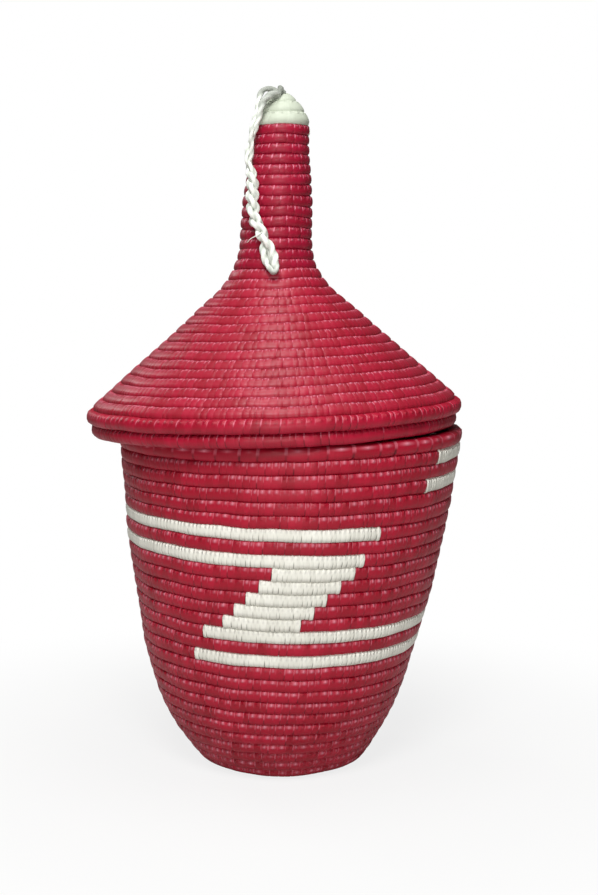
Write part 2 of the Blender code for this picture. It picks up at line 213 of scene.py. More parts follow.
class Coil:
    """The rounds of one coil. Its place function turns rows and an azimuth in radians into a point."""

    def __init__(self, place, rows, tapered_start=False):
        self.place = place
        self.rows = rows
        self.tapered_start = tapered_start
        self.first = CLIMB_SHARE / 2.0
        self.last = rows - CLIMB_SHARE / 2.0
        while tapered_start and self.middle_and_share(self.first - TAPER_STEP)[1] > TAIL_THICKNESS:
            self.first -= TAPER_STEP
        while self.middle_and_share(self.last + TAPER_STEP)[1] > TAIL_THICKNESS:
            self.last += TAPER_STEP

    def middle_and_share(self, turns):
        """The row position, and the share of a row that the coil fills: less than 1 where an end tapers."""
        half = CLIMB_SHARE / 2.0
        if turns > self.rows - half:
            below = row_position(turns - 1.0) + 0.5
            return (self.rows + below) / 2.0, self.rows - below
        if self.tapered_start and turns < half:
            above = row_position(turns + 1.0) - 0.5
            return above / 2.0, above
        return row_position(turns), 1.0

    def spot(self, turns):
        """The middle, half the row's thickness, and the tilt that turns a section's top to the next row."""
        row, share = self.middle_and_share(turns)
        azimuth = pi - 2.0 * pi * turns
        here = self.place(row, azimuth)
        pitch = min((self.place(row + side, azimuth) - here).length for side in (-1.0, 1.0))
        along = self.place(row + 0.5, azimuth) - self.place(row - 0.5, azimuth)
        outward = Vector((sin(azimuth), -cos(azimuth), 0.0))
        return here, pitch * share / 2.0, atan2(along.z, along.dot(outward))

    def run(self, first, last):
        """Spots along the coil between two counts of turns."""
        steps = max(LEAST_SAMPLES, round((last - first) * SAMPLES_A_TURN))
        spots = [self.spot(first + (last - first) * step / steps) for step in range(steps + 1)]
        tilts = np.unwrap([tilt for _, _, tilt in spots])
        return [(middle, half, float(tilt)) for (middle, half, _), tilt in zip(spots, tilts)]


print("coil:", SAMPLES_A_TURN, "spots a turn")

# %% [markdown]
# ## The basket's coil
#
# It starts in the middle of the base and climbs the rounded wall. The basket is handmade, so its rows lean a
# little and wander sideways, by two small tables.

# %% The basket's coil
BASE_ROWS, WALL_ROWS = 6, 28
FIRST_TURN_RADIUS, BASE_MIDDLE = 0.0033, 0.00241
WALL_LINE = (  # the coil's middle, as radius and height over the base coil's middle
    (0.0335, 0.0), (0.0388, 0.0020), (0.0470, 0.0130), (0.0546, 0.0262), (0.0600, 0.0408), (0.0641, 0.0560),
    (0.0674, 0.0715), (0.0718, 0.0930), (0.0754, 0.1150), (0.0784, 0.1380), (0.0806, 0.1588),
)
BASKET_OFFSETS = ((0.0, 0.0041), (0.022, 0.0021), (0.055, 0.0021), (0.08, 0.0041), (0.159, 0.0078))
BASKET_LEANS = ((0.008, 0.0), (0.04, -0.035), (0.09, -0.028), (0.122, -0.024), (0.14, 0.004), (0.159, 0.018))

wall_line = smooth_route([(radius, 0.0, height) for radius, height in WALL_LINE], MM)
basket_meridian = Meridian([(0.0, 0.0)] + [(point.x, point.z) for point in wall_line])
basket_rows = BASE_ROWS + WALL_ROWS
basket_pitch = (basket_meridian.length - FIRST_TURN_RADIUS) / (basket_rows - 1)


def place_in_basket(row, azimuth):
    radius, height = basket_meridian.point(FIRST_TURN_RADIUS + (row - 0.5) * basket_pitch)
    across = radius * sin(azimuth)
    along_x = read_table(BASKET_OFFSETS, height) + across
    rise = height + read_table(BASKET_LEANS, height) * across
    return Vector((along_x, -radius * cos(azimuth), BASE_MIDDLE + rise))


basket_coil = Coil(place_in_basket, basket_rows)
print(f"basket coil: {basket_rows} rows, {basket_pitch / MM:.2f} mm apart")

# %% [markdown]
# ## The lid's coils
#
# One coil runs from the tip down the neck and the cone, which meet in a soft curve. Below the lid's thick rim, a
# flat flange sits on the basket, with a short lip that drops into the mouth. The rim's height is read from the
# frame, and the flange and the lip hang below it.

# %% The lid's line
LID_OFFSETS = ((0.176, 0.0), (0.245, 0.0005), (0.262, 0.0014), (0.309, 0.0032), (0.326, 0.0038))
LID_LEANS = ((0.176, 0.032), (0.215, 0.038), (0.238, 0.03), (0.252, 0.012))
TIP_ROWS, NECK_ROWS, CONE_ROWS = 3, 14, 16
TIP_HEIGHT, TIP_SHARPNESS, DOME_STEPS = 0.0156, 1.4, 40
NECK_TOP_RADIUS, NECK_FOOT_RADIUS, NECK_HEIGHT, NECK_FILLET = 0.0120, 0.0163, 0.0706, 0.038
CONE_HEIGHT, CONE_FOOT_ANGLE = 0.0594, radians(51.0)
LID_RIM_RADIUS, LID_RIM_THICKNESS = 0.0881, 0.0066
CAD_ROW_GAP, CAD_SEAT_GAP = 0.0005, 0.0003
FLAT_HALF = cos(pi / 6.0)  # from a six-sided CAD coil's middle to its flats, as a share of its radius


def fillet(before, corner, after, radius, steps=20):
    """Points on the arc that rounds the corner between two straight lines."""
    arriving = (corner - before).normalized()
    leaving = (after - corner).normalized()
    turning = arriving.angle(leaving)
    inward = (leaving - arriving).normalized()
    onward = (leaving + arriving).normalized()
    centre = corner + inward * (radius / cos(turning / 2.0))
    for step in range(steps + 1):
        angle = turning * (step / steps - 0.5)
        yield centre - inward * (radius * cos(angle)) + onward * (radius * sin(angle))


rim_low, rim_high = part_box("lid_rim_coil")
rim_height = (rim_low.z + rim_high.z) / 2.0
slope_pitch = Vector((LID_RIM_RADIUS - NECK_FOOT_RADIUS, CONE_HEIGHT)).length / CONE_ROWS
reach = LID_RIM_THICKNESS / 2.0 * FLAT_HALF + CAD_SEAT_GAP + (slope_pitch - CAD_ROW_GAP) / 2.0
cone_foot = Vector((LID_RIM_RADIUS, rim_height))
cone_foot += Vector((-cos(CONE_FOOT_ANGLE), sin(CONE_FOOT_ANGLE))) * reach
knee = Vector((NECK_FOOT_RADIUS, cone_foot.y + CONE_HEIGHT))
neck_top = Vector((NECK_TOP_RADIUS, knee.y + NECK_HEIGHT))
lid_line = []
for angle in (pi / 2.0 * step / DOME_STEPS for step in range(DOME_STEPS + 1)):
    rise = TIP_HEIGHT * abs(cos(angle)) ** TIP_SHARPNESS
    lid_line.append((NECK_TOP_RADIUS * sin(angle) ** TIP_SHARPNESS, neck_top.y + rise))
lid_line.extend(tuple(point) for point in fillet(neck_top, knee, cone_foot, NECK_FILLET))
lid_line.append(tuple(cone_foot))
lid_meridian = Meridian(lid_line)
print(f"lid: {lid_meridian.length / MM:.0f} mm from the tip to the foot of the cone")

# %% [markdown]
# The rows of the tip are thick and those of the neck are thin, as counted in the photograph. So both follow a
# table of pitches, and the cone's rows share what is left evenly.

# %% The lid's rows
ROW_PITCHES = ((2.6, 0.0059), (3.6, 0.0044), (9.0, 0.0051))  # by row from the tip
TIP_TURN_RADIUS = 0.0042
FLANGE_RADIUS, FLANGE_ROWS, FLANGE_PITCH = 0.0857, 4, 0.0065
LIP_RADIUS, LIP_ROWS, LIP_PITCH = 0.0661, 2, 0.0058

neck_end_row = TIP_ROWS + NECK_ROWS


def tip_reach(row):
    """How far down the meridian a row of the tip or the neck lies, which is the pitches above it added up."""
    rows = [0.5, *(at for at, _ in ROW_PITCHES if at < row), row]
    reach = TIP_TURN_RADIUS
    for start, end in zip(rows, rows[1:]):
        reach += (end - start) * (read_table(ROW_PITCHES, start) + read_table(ROW_PITCHES, end)) / 2.0
    return reach


def lid_point(row):
    if row < neck_end_row:
        return lid_meridian.point(tip_reach(row))
    return lid_meridian.point(neck_end + (row - neck_end_row) * cone_pitch)


def leaning(radius_at, height_at):
    """The place function of a lid coil from its radius and height by row."""

    def place(row, azimuth):
        height = height_at(row)
        across = radius_at(row) * sin(azimuth)
        lean = read_table(LID_LEANS, height) * across
        return Vector((read_table(LID_OFFSETS, height) + across, -radius_at(row) * cos(azimuth), height + lean))

    return place


neck_end = tip_reach(neck_end_row)
cone_pitch = (lid_meridian.length - neck_end) / (CONE_ROWS - 0.5)
flange_flat = (FLANGE_PITCH - CAD_ROW_GAP) / 2.0 * FLAT_HALF
flange_height = rim_height - LID_RIM_THICKNESS / 2.0 - CAD_SEAT_GAP - flange_flat
lip_height = flange_height - flange_flat - CAD_SEAT_GAP - (LIP_PITCH - CAD_ROW_GAP) / 2.0
lid_coil = Coil(leaning(lambda row: lid_point(row)[0], lambda row: lid_point(row)[1]), neck_end_row + CONE_ROWS)
flange_coil = Coil(
    leaning(lambda row: FLANGE_RADIUS - (row - 0.5) * FLANGE_PITCH, lambda row: flange_height), FLANGE_ROWS, True
)
lip_coil = Coil(leaning(lambda row: LIP_RADIUS, lambda row: lip_height - (row - 0.5) * LIP_PITCH), LIP_ROWS, True)
place_in_rim = leaning(lambda row: LID_RIM_RADIUS, lambda row: rim_height)
print(f"lid coil: {lid_coil.rows} rows, {cone_pitch / MM:.2f} mm apart on the cone")

# %% [markdown]
# ## Wrapping the coil
#
# Each strip of sisal makes a narrow pillow across the coil, with a groove before the next strip. The groove is
# deepest at the foot, where the strip dives into the row below. Thousands of wraps follow one line, which is what
# Geometry Nodes are good at. The tree's inputs say how a wrap looks.

# %% The tree and its inputs
def new_tree(name, sockets):
    """An empty tree with its named inputs. A number is its input's value, and None stands for a material."""
    kinds = {float: "NodeSocketFloat", int: "NodeSocketInt", type(None): "NodeSocketMaterial"}
    tree = bpy.data.node_groups.new(name, "GeometryNodeTree")
    tree.interface.new_socket("Geometry", in_out="INPUT", socket_type="NodeSocketGeometry")
    for socket_name, value in sockets.items():
        socket = tree.interface.new_socket(socket_name, in_out="INPUT", socket_type=kinds[type(value)])
        if value is not None:
            socket.default_value = value
    tree.interface.new_socket("Geometry", in_out="OUTPUT", socket_type="NodeSocketGeometry")
    return tree


wrap_tree = new_tree("wrapped_coil", {
    "Wrap Width": 0.0033, "Sides": 14, "Fullness": 1.03, "Squareness": 3.1, "Top Angle": pi, "Shoulder": 0.07,
    "Foot Groove": 0.05, "Least Seam": 0.28, "Press": 0.15, "Raised Ends": 0.0, "Sway": 0.0008, "Slant": 0.3,
    "Unevenness": 0.45, "Lowest": -1.0, "Seed": 1, "Material": None,
})
print("wrapped_coil:", len(wrap_tree.interface.items_tree), "sockets")

# %% [markdown]
# First the tree counts how many wraps fit, and puts four rings on each. No two strips are equally wide, so a
# random number moves each edge between wraps, and another one makes its seam faint or deep. A tone for each wrap
# and the depth of its groove are stored for the materials.

# %% Rings along the line
RINGS_A_WRAP = 4.0
RING_CROWDING = 0.15  # how far a wrap's rings gather at its grooves
GROOVE_SHARPNESS, PILLOW_SHARPNESS = 6.0, 1.5
SEAM_SPREAD = 1.3  # by how much the deepest seam passes the least one
SEAM_SEED, TONE_SEED = 3.0, 7.0  # added to a piece's own seed


def edge_of_wrap(add, asked, wraps, number):
    """Where the edge between two wraps lies, in wraps. The first and last edges stay where they are."""
    moved = add("RandomValue", {"ID": number, "Seed": asked["Seed"]}).outputs["Value"]
    moved = add("MULTIPLY", add("SUBTRACT", moved, 0.5), asked["Unevenness"])
    inner = add("MINIMUM", number, add("SUBTRACT", wraps, number))
    return add("MULTIPLY_ADD", moved, add("MINIMUM", inner, 1.0), number)


def ring_values(add, asked):
    """How many wraps there are, which one a ring is on, and what a ring knows of its place on it."""
    length = add("CurveLength", asked["Geometry"])
    wraps = add("DIVIDE", length, asked["Wrap Width"])
    wraps = add("MAXIMUM", add("ROUND", wraps), 1.0)
    ring = add("DIVIDE", add("InputIndex"), RINGS_A_WRAP)
    wrap = add("FLOOR", ring)
    share = add("FRACT", ring)
    turned = add("MULTIPLY", share, 2.0 * pi)
    phase = add("MULTIPLY_ADD", add("SINE", turned), -RING_CROWDING, share)
    valley = add("MULTIPLY_ADD", add("COSINE", turned), 0.5, 0.5)

    seam = {"ID": add("ROUND", ring), "Seed": add("ADD", asked["Seed"], SEAM_SEED)}
    seam = add("POWER", add("RandomValue", seam).outputs["Value"], 2.0)
    seam = add("MULTIPLY_ADD", seam, SEAM_SPREAD, asked["Least Seam"])
    groove = add("MULTIPLY", add("POWER", valley, GROOVE_SHARPNESS), seam)
    pillow = add("SUBTRACT", 1.0, add("POWER", valley, PILLOW_SHARPNESS))

    start = edge_of_wrap(add, asked, wraps, wrap)
    end = edge_of_wrap(add, asked, wraps, add("ADD", wrap, 1.0))
    reached = add("MULTIPLY_ADD", add("SUBTRACT", end, start), phase, start)
    reached = add("MULTIPLY", reached, add("DIVIDE", length, wraps))

    left = add("SUBTRACT", add("SUBTRACT", wraps, 1.0), wrap)
    ending = add("MINIMUM", wrap, add("MAXIMUM", left, 0.0))
    ending = add("SUBTRACT", 1.0, add("MINIMUM", ending, 1.0))
    return wraps, wrap, {"reached": reached, "groove": groove, "pillow": pillow, "ending": ending}


def lay_rings(add, asked, wraps, wrap, ring):
    """The line with a point for each ring. It takes its place, radius and tilt from the given line."""
    count = add("MULTIPLY_ADD", wraps, RINGS_A_WRAP, 1.0)
    line = add("ResampleCurve", {"Curve": asked["Geometry"], "Count": count}, mode="COUNT")
    read = {}
    for name, kind in (("tilt", "InputCurveTilt"), ("radius", "InputRadius")):
        sampled = {"Curves": asked["Geometry"], "Value": add(kind), "Length": ring["reached"]}
        read[name] = add("SampleCurve", sampled, mode="LENGTH", data_type="FLOAT").outputs
    line = add("SetPosition", {"Geometry": line, "Position": read["tilt"]["Position"]})
    line = add("SetCurveRadius", {"Curve": line, "Radius": read["radius"]["Value"]})
    line = add("SetCurveTilt", {"Curve": line, "Tilt": read["tilt"]["Value"]})
    line = add("SetCurveNormal", {"Curve": line}, mode="Z_UP")
    tone = add("RandomValue", {"ID": wrap, "Seed": add("ADD", asked["Seed"], TONE_SEED)})
    for name, value in (("wrap_tone", tone.outputs["Value"]), ("groove", ring["groove"])):
        line = add("StoreNamedAttribute", {"Geometry": line, "Name": name, "Value": value})
    return line


print("rings:", int(RINGS_A_WRAP), "on each wrap")

# %% [markdown]
# Then a round section is swept along the line, and its points are pushed in or out. The cord further down uses
# the same three functions.

# %% Sweep, push and finish
def sweep(add, asked, line, ring):
    """A round section along the line. Returns the tube, and for its points the ring's values and the angle."""
    keep = add("CaptureAttribute", {"Geometry": line}, domain="POINT")
    links = keep.id_data.links
    for number, (name, value) in enumerate(ring.items(), 1):
        socket = value.outputs[0] if isinstance(value, bpy.types.Node) else value
        keep.capture_items.new("VECTOR" if socket.type == "VECTOR" else "FLOAT", name)
        links.new(socket, keep.inputs[number])
    circle = add("CurvePrimitiveCircle", {"Resolution": asked["Sides"], "Radius": 1.0}, mode="RADIUS")
    angle = add("DIVIDE", add("InputIndex"), asked["Sides"])
    angle = add("MULTIPLY", angle, 2.0 * pi)
    section = add("CaptureAttribute", {"Geometry": circle}, domain="POINT")
    section.capture_items.new("FLOAT", "angle")
    links.new(angle.outputs[0], section.inputs[1])
    tube = add("CurveToMesh", {
        "Curve": keep, "Profile Curve": section, "Scale": add("InputRadius"), "Fill Caps": True,
    })
    return tube, keep.outputs, section.outputs["angle"]


def pushed(add, middle, share):
    """A point's place, once its distance from the ring's middle is multiplied by a share."""
    spoke = add("VectorMath:SUBTRACT", add("InputPosition"), middle)
    spoke = add("VectorMath:SCALE", {0: spoke, "Scale": share})
    return add("VectorMath:ADD", middle, spoke)


def finish_tree(add, asked, shaped, attributes):
    """Stores what the materials read, and ends the tree."""
    for name, value in attributes:
        stored = {"Geometry": shaped, "Name": name, "Value": value}
        kind = "FLOAT_VECTOR" if value.type == "VECTOR" else "FLOAT"
        shaped = add("StoreNamedAttribute", stored, data_type=kind)
    shaped = add("SetShadeSmooth", shaped)
    shaped = add("RealizeInstances", shaped)
    shaped = add("SetMaterial", {"Geometry": shaped, "Material": asked["Material"]})
    add("GroupOutput", shaped)


print("parts of a tree: sweep, pushed, finish_tree")

# %% [markdown]
# The rows press on each other, so a wrapped bundle is a rounded square. A wrap swells at its shoulder, and is
# drawn in where it is stitched down. The strips slant, and the whole row sways a little, as handwork does.

# %% The shape of a wrap
SHOULDER_FROM, SHOULDER_FULL = 0.2, 0.95  # cosines of the angle from the top
FOOT_FROM, FOOT_FULL = 0.1, -0.7
PILLOW_LEVEL = 0.8  # the part of a pillow that neither swells nor sinks
SWAY_SCALE = 45.0  # a row sways over about 20 mm
SECTION_MM = 3.0  # the section's radius in the weave, in millimetres


def wrap_growth(add, asked, ring, angle, up, out):
    """How far out a point of the section lies, as a share of the row's half, and the cosine from its top."""
    powers = [add("POWER", add("ABSOLUTE", side), asked["Squareness"]) for side in (up, out)]
    root = add("DIVIDE", -1.0, asked["Squareness"])
    squared = add("POWER", add("ADD", *powers), root)
    edge = add("COSINE", add("SUBTRACT", angle, asked["Top Angle"]))
    shoulder = add("MapRange", {0: edge, 1: SHOULDER_FROM, 2: SHOULDER_FULL}, **SMOOTH)
    foot = add("MapRange", {0: edge, 1: FOOT_FROM, 2: FOOT_FULL}, **SMOOTH)
    rise = add("MULTIPLY", add("SUBTRACT", ring["pillow"], PILLOW_LEVEL), shoulder)
    rise = add("MULTIPLY", rise, asked["Shoulder"])
    dip = add("MULTIPLY", add("MULTIPLY", ring["groove"], foot), asked["Foot Groove"])
    grown = add("MULTIPLY_ADD", ring["ending"], asked["Raised Ends"], asked["Fullness"])
    grown = add("SUBTRACT", add("ADD", grown, rise), dip)
    press = add("MULTIPLY_ADD", add("MULTIPLY", up, up), asked["Press"], 1.0)
    return add("MULTIPLY", add("MULTIPLY", grown, squared), press), edge


def wrap_place(add, asked, ring, up, grown):
    """A point's place: pushed out, slanted, swayed, and never below the lowest height."""
    place = pushed(add, ring["middle"], grown)
    lean = add("MULTIPLY", add("MULTIPLY", up, ring["half"]), asked["Slant"])
    lean = add("VectorMath:SCALE", {0: ring["onward"], "Scale": lean})
    place = add("VectorMath:ADD", place, lean)
    sway = add("TexNoise", {"Vector": ring["middle"], "Scale": SWAY_SCALE, "Detail": 1.0})
    sway = add("VectorMath:SUBTRACT", sway.outputs["Color"], (0.5, 0.5, 0.5))
    sway = add("VectorMath:SCALE", {0: sway, "Scale": add("MULTIPLY", asked["Sway"], 2.0)})
    place = add("VectorMath:ADD", place, sway)
    parts = add("SeparateXYZ", place).outputs
    clear = add("MAXIMUM", parts["Z"], asked["Lowest"])
    return add("CombineXYZ", parts["X"], parts["Y"], clear)


def build_wrap_tree(add):
    asked = add("GroupInput").outputs
    wraps, wrap, ring = ring_values(add, asked)
    line = lay_rings(add, asked, wraps, wrap, ring)
    ring["middle"] = add("InputPosition")
    ring["onward"] = add("InputTangent")
    ring["half"] = add("InputRadius")
    tube, kept, angle = sweep(add, asked, line, ring)
    up = add("COSINE", angle)
    out = add("SINE", angle)
    grown, edge = wrap_growth(add, asked, kept, angle, up, out)
    place = wrap_place(add, asked, kept, up, grown)
    shaped = add("SetPosition", {"Geometry": tube, "Position": place})
    weave = [add("MULTIPLY", kept["reached"], 1.0 / MM)]
    weave += [add("MULTIPLY", side, SECTION_MM) for side in (up, out)]
    weave = add("CombineXYZ", *weave)
    attributes = (("weave", weave.outputs[0]), ("edge", edge.outputs[0]), ("pillow", kept["pillow"]))
    finish_tree(add, asked, shaped, attributes)


build_wrap_tree(partial(add_node, wrap_tree))
print("wrapped_coil:", len(wrap_tree.nodes), "nodes")

# %% [markdown]
# A tree runs on a curve whose points carry the thickness and the tilt. Its result is copied into a mesh, and the
# curve goes. Each piece then rides on its body and stands for its CAD node.

# %% Running a tree on a line
def line_object(name, spots):
    """A curve through (middle, radius, tilt), which is what the tree wraps."""
    curve = bpy.data.curves.new(name, "CURVE")
    curve.dimensions = "3D"
    spline = curve.splines.new("POLY")
    spline.points.add(len(spots) - 1)
    for point, (middle, radius, tilt) in zip(spline.points, spots):
        point.co = (*middle, 1.0)
        point.radius = radius
        point.tilt = tilt
    return new_object(name + "_line", curve)


def run_tree(thing, tree, name, **values):
    """The tree's result as a plain mesh piece at the origin. The line goes, as its curve is removed."""
    modifier = thing.modifiers.new("nodes", "NODES")
    modifier.node_group = tree
    for item in tree.interface.items_tree:
        value_name = item.name.replace(" ", "_").lower()
        if item.in_out == "INPUT" and value_name in values:
            modifier[item.identifier] = values[value_name]
    thing.update_tag()
    bpy.context.view_layer.update()
    mesh = bpy.data.meshes.new_from_object(thing.evaluated_get(bpy.context.evaluated_depsgraph_get()))
    mesh.name = name
    bpy.data.curves.remove(thing.data)
    return new_object(name, mesh)


def wrap(name, node, body, slot, spots, **values):
    """Wraps a line and lets it stand for a CAD node."""
    piece = run_tree(line_object(name, spots), wrap_tree, name, **values)
    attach(piece, body)
    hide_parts(node)
    return piece


print("ready to wrap")

# %% [markdown]
# ## Sisal
#
# The strips are flat leaf fibre with a satin face, most of them dyed red. Each wrap has its own tone, with fine
# fibres along it. The seams get painted shade, deepest at each wrap's foot, and the white rows get painted shade
# on their lower side. Pale painted highlights lie at the top of the seams, and a pale painted glint on the upper
# shoulder of many wraps. The masks read what the tree stored, so they follow every wrap without a layout.

# %% Wrapped sisal
COAT_ROUGHNESS, SISAL_SPECULAR = 0.35, 0.22
SPOT_SHARPNESS = 6.0
FIBRE_SCALE = (3.0, 0.15, 0.15)  # fibres 0.3 mm wide across the row, coarser than real ones, so that they show
PATCH_SCALE = (0.05, 0.05, 0.05)  # dye that took unevenly over about 20 mm
FIBRE_LIGHT, TONE_LIGHT, PATCH_LIGHT, LIGHT_LEVEL = 0.8, 0.6, 1.4, -0.9  # what makes a strip light or dark
FIBRE_RELIEF, SEAM_RELIEF = 0.15, -0.15  # next to a bead's full height


def new_material(name, roughness, specular=0.5):
    material = bpy.data.materials.new(name)
    material.use_nodes = True
    shader = material.node_tree.nodes["Principled BSDF"]
    shader.inputs["Roughness"].default_value = roughness
    shader.inputs["Specular IOR Level"].default_value = specular
    return material, shader, partial(add_node, material.node_tree)


def dress(add, shader, colour, layers, **bump):
    """Lays colours over each other by their masks, and sets the bump."""
    links = shader.id_data.links
    colour = linear(colour)
    for share, layer in layers:
        colour = add("Mix", {0: share, 6: colour, 7: linear(layer)}, data_type="RGBA").outputs[2]
    links.new(colour, shader.inputs["Base Color"])
    links.new(add("Bump", bump).outputs[0], shader.inputs["Normal"])


def wrapped_sisal(name, colours, seams, edge_glints, glints_and_grey, shade=0.0, roughness=0.5, coat=0.2):
    """Strips of sisal, from the colours of a dark and a light strip, of painted shade in a seam and of a painted
    glint.
    """
    dark, light, seam, pale = colours.split()
    material, shader, add = new_material(name, roughness, SISAL_SPECULAR)
    shader.inputs["Coat Weight"].default_value = coat
    shader.inputs["Coat Roughness"].default_value = COAT_ROUGHNESS
    read = {
        stored: add("Attribute", attribute_name=stored).outputs["Fac"]
        for stored in ("wrap_tone", "groove", "edge", "pillow")
    }
    weave = add("Attribute", attribute_name="weave").outputs["Vector"]

    masks = {}  # (mask, what it reads, where it starts, where it is full, how much it is there)
    for mask, value, start, full, most in (
        ("foot", "edge", 0.35, -0.25, seams), ("below", "edge", -0.1, -0.9, shade),
        ("opening", "groove", 0.08, 0.6, 1.0), ("head", "edge", -0.1, 0.5, edge_glints),
        ("upper", "edge", 0.25, 0.55, 1.0), ("crown", "edge", 0.85, 0.62, 1.0),
        ("chance", "wrap_tone", 0.0, 0.8, glints_and_grey),
    ):
        masks[mask] = add("MapRange", {0: read[value], 1: start, 2: full, 4: most}, **SMOOTH)

    fine = add("VectorMath:MULTIPLY", weave, FIBRE_SCALE)
    fibres = add("TexNoise", {"Vector": fine, "Scale": 1.0, "Detail": 2.0})
    broad = add("VectorMath:MULTIPLY", weave, PATCH_SCALE)
    patches = add("TexNoise", {"Vector": broad, "Scale": 1.0, "Detail": 1.0})
    mixed = add("MULTIPLY_ADD", fibres, FIBRE_LIGHT, LIGHT_LEVEL)
    mixed = add("MULTIPLY_ADD", read["wrap_tone"], TONE_LIGHT, mixed)
    mixed = add("MULTIPLY_ADD", patches, PATCH_LIGHT, mixed, use_clamp=True)
    # Painted shade: the seams darken towards each wrap's foot, where the grooves between wraps lie in shade.
    thin = add("MULTIPLY", read["groove"], read["groove"], use_clamp=True)
    seam_shade = add("MULTIPLY", thin, masks["foot"])
    # Painted highlights: pale lines at the top of the seams, and a pale glint on the upper shoulder of many wraps.
    painted_edge_line = add("MULTIPLY", masks["opening"], masks["head"])
    bead = add("MULTIPLY", masks["upper"], masks["crown"])
    bead = add("MULTIPLY", bead, add("POWER", read["pillow"], SPOT_SHARPNESS))
    spot = add("MULTIPLY", bead, masks["chance"])

    # The layers: tone, painted shade in the seams and on a row's lower side, and two kinds of painted highlight.
    layers = ((mixed, light), (seam_shade, seam), (masks["below"], seam), (painted_edge_line, pale), (spot, pale))
    height = add("MULTIPLY_ADD", fibres, FIBRE_RELIEF, add("MULTIPLY_ADD", thin, SEAM_RELIEF, bead))
    dress(add, shader, dark, layers, Strength=0.8, Distance=0.0006, Height=height)
    return material


red_sisal = wrapped_sisal(
    "dyed_sisal_wrap", "#8a041c #a6082a #5c0614 #ea9cae", seams=0.85, edge_glints=0.25, glints_and_grey=0.65, coat=0.12,
)
rim_sisal = wrapped_sisal("dyed_sisal_rim", "#8a041e #a60a2e #5c0614 #dc8498", seams=0.85, edge_glints=0.45, glints_and_grey=0.0)
white_sisal = wrapped_sisal(
    # Painted shade darkens the lower side of each white row.
    "natural_sisal_wrap", "#d3d1c6 #e4e2d8 #6c6c62 #efede4", seams=0.85, edge_glints=0.0, glints_and_grey=0.5, shade=0.3,
    roughness=0.6, coat=0.05,
)
tip_sisal = wrapped_sisal(
    "undyed_sisal_tip", "#b2b9a7 #bfc6b5 #9aa192 #dfe3d8", seams=0.2, edge_glints=0.15, glints_and_grey=0.0, roughness=0.6,
    coat=0.05,
)
# The neck's colours are darker than the wall's, and the cone's are pinker, which is a painted sheen.
neck_sisal = wrapped_sisal("dyed_sisal_neck", "#840420 #9a0a2e #700818 #e088a0", seams=0.35, edge_glints=0.6, glints_and_grey=0.3)
cone_sisal = wrapped_sisal(
    "dyed_sisal_cone", "#8a1022 #a01430 #700a1c #e490a6", seams=0.35, edge_glints=0.65, glints_and_grey=0.7, coat=0.25,
)
for sisal in (red_sisal, rim_sisal, white_sisal, tip_sisal, neck_sisal, cone_sisal):
    print("material:", sisal.name)

# %% [markdown]
# ## Where the colour changes
#
# The pattern isn't painted. Where it is white, the maker goes on with a natural strip. So the wall is one coil,
# cut into red and white runs by azimuth. A zigzag is two long bars, a stair of five short runs, and two long bars
# again. The second zigzag is the first one, turned to the back and raised.

# %% The runs of the basket
TOP_BARS, TOP_BAR_LENGTH = ((7, 32.5), (9, 27.5)), 156.5  # (row from the rim, right end), in degrees
STEP_ROWS, STEP_LEFT, STEP_SHIFT, STEP_WIDTH = (10, 11, 12, 13, 14), -4.0, -4.4, 28.5
BOTTOM_BARS, BOTTOM_BAR_LENGTH = ((15, -30.0), (17, -34.5)), 126.0  # (row from the rim, left end)
ZIGZAGS = (("front", 0.0, 0), ("back", 180.0, 5))  # (side, turned by, raised by rows)
LEFT_JOIN, RIGHT_JOIN, LASHING_FROM = -90.0, 90.0, 170.0  # azimuths at which runs meet


def zigzag(side, turn, rise):
    """The white runs of one zigzag, as (name, row from the rim, left end, right end)."""
    for row, right in TOP_BARS:
        yield f"{side}_white_top_bar", row - rise, right - TOP_BAR_LENGTH + turn, right + turn
    for number, row in enumerate(STEP_ROWS):
        left = STEP_LEFT + STEP_SHIFT * number + turn
        yield f"{side}_white_step", row - rise, left, left + STEP_WIDTH
    for row, left in BOTTOM_BARS:
        yield f"{side}_white_bottom_bar", row - rise, left + turn, left + BOTTOM_BAR_LENGTH + turn


white_runs = []
for side, turn, rise in ZIGZAGS:
    for kind, row, left, right in zigzag(side, turn, rise):
        from_start = basket_rows - row
        white_runs.append((turns_at(from_start, right), turns_at(from_start, left), f"{kind}_row_{row:02d}"))
runs = []
here = wall_start = turns_at(BASE_ROWS, LEFT_JOIN)
for number, (start, end, name) in enumerate(sorted(white_runs), 1):
    runs += [(f"red_wall_run_{number:02d}", here, start, "red_sisal"), (name, start, end, "white_sisal")]
    here = end
rim_start = turns_at(basket_rows - 2, LEFT_JOIN)
lashing_start = turns_at(basket_rows - 1, LASHING_FROM)
narrow_end = turns_at(BASE_ROWS // 2, RIGHT_JOIN)
runs += [
    (f"red_wall_run_{len(white_runs) + 1:02d}", here, rim_start, "red_sisal"),
    ("basket_rim_coil", rim_start, lashing_start, "red_sisal"),
    ("base_start_coil", basket_coil.first, narrow_end, "red_sisal"),
    ("base_coil", narrow_end, wall_start, "red_sisal"),
]
print("basket:", len(runs), "runs,", len(white_runs), "of them white")

# %% [markdown]
# The natural strips are narrower than the red ones, and lie more upright. The rim ends in a stretch that is
# lashed over with wide strips, which is a piece of its own.

